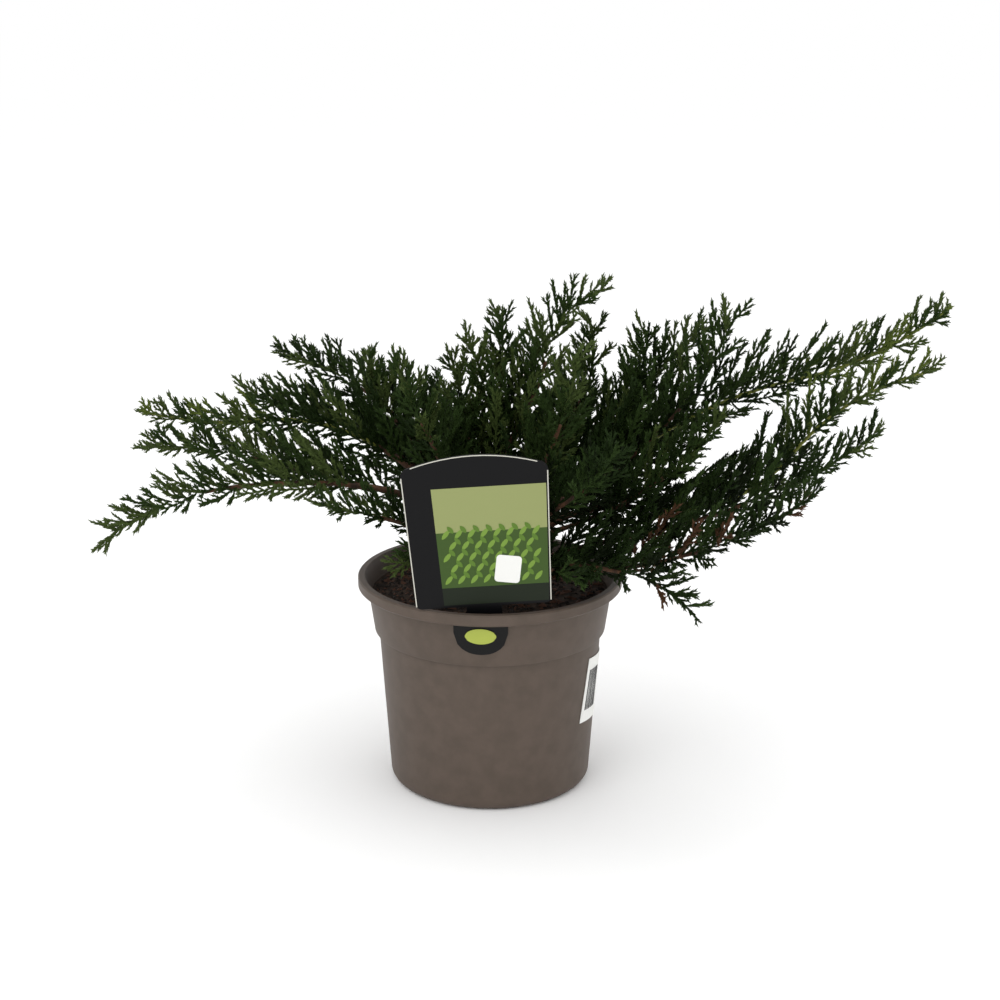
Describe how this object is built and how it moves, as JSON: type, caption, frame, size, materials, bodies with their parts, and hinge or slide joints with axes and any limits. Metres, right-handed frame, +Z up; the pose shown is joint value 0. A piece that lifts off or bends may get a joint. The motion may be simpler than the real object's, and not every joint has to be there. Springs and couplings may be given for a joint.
{
  "type": "potted spreading juniper",
  "caption": "Low spreading evergreen shrub with long arching boughs of scaly needle sprays, growing from compost in a round tapered nursery pot with a plant label.",
  "frame": {"origin": "centre of the flat underside of the pot", "axes": "+Z up, +X to the right as seen from the label side, which is the front and faces -Y"},
  "size_m": [0.6026, 0.3191, 0.3645],
  "materials": {
    "pot_plastic": "moulded taupe polypropylene with a satin matt skin",
    "compost": "dark damp compost with bark crumbs",
    "label_card": "black printed plastic card with a glossy face",
    "tab_black": "black printed plastic tab",
    "badge_green": "plain yellow-green oval",
    "sticker_paper": "white coated paper",
    "bark": "reddish-brown flaking bark",
    "foliage": "dark green scale and awl needles, matt with a slight sheen"
  },
  "bodies": {
    "root": {"back_left_bough": "bark", "back_left_foliage": "foliage", "back_low_left_bough": "bark", "back_low_left_foliage": "foliage", "back_low_right_bough": "bark", "back_low_right_foliage": "foliage", "back_right_bough": "bark", "back_right_foliage": "foliage", "centre_back_foliage": "foliage", "centre_back_left_foliage": "foliage", "centre_front_foliage": "foliage", "centre_left_foliage": "foliage", "centre_right_foliage": "foliage", "compost": "compost", "front_low_foliage": "foliage", "front_right_foliage": "foliage", "label": "label_card", "leader_bough": "bark", "leader_foliage": "foliage", "left_back_bough": "bark", "left_back_foliage": "foliage", "left_fan_bough": "bark", "left_fan_foliage": "foliage", "left_fringe_foliage": "foliage", "left_front_plume_foliage": "foliage", "left_low_bough": "bark", "left_low_foliage": "foliage", "left_mid_bough": "bark", "left_mid_foliage": "foliage", "left_plume_foliage": "foliage", "left_under_foliage": "foliage", "left_whip_bough": "bark", "left_whip_foliage": "foliage", "pot": "pot_plastic", "pot_tab": "tab_black", "right_arch_bough": "bark", "right_arch_foliage": "foliage", "right_crest_bough": "bark", "right_crest_foliage": "foliage", "right_droop_bough": "bark", "right_droop_foliage": "foliage", "right_fan_bough": "bark", "right_fan_foliage": "foliage", "right_low_bough": "bark", "right_low_foliage": "foliage", "right_mid_bough": "bark", "right_mid_foliage": "foliage", "right_plume_bough": "bark", "right_plume_foliage": "foliage", "right_under_bough": "bark", "right_under_foliage": "foliage", "right_whip_bough": "bark", "right_whip_foliage": "foliage", "stem": "bark", "sticker": "sticker_paper", "tab_badge": "badge_green"}
  },
  "joints": []
}
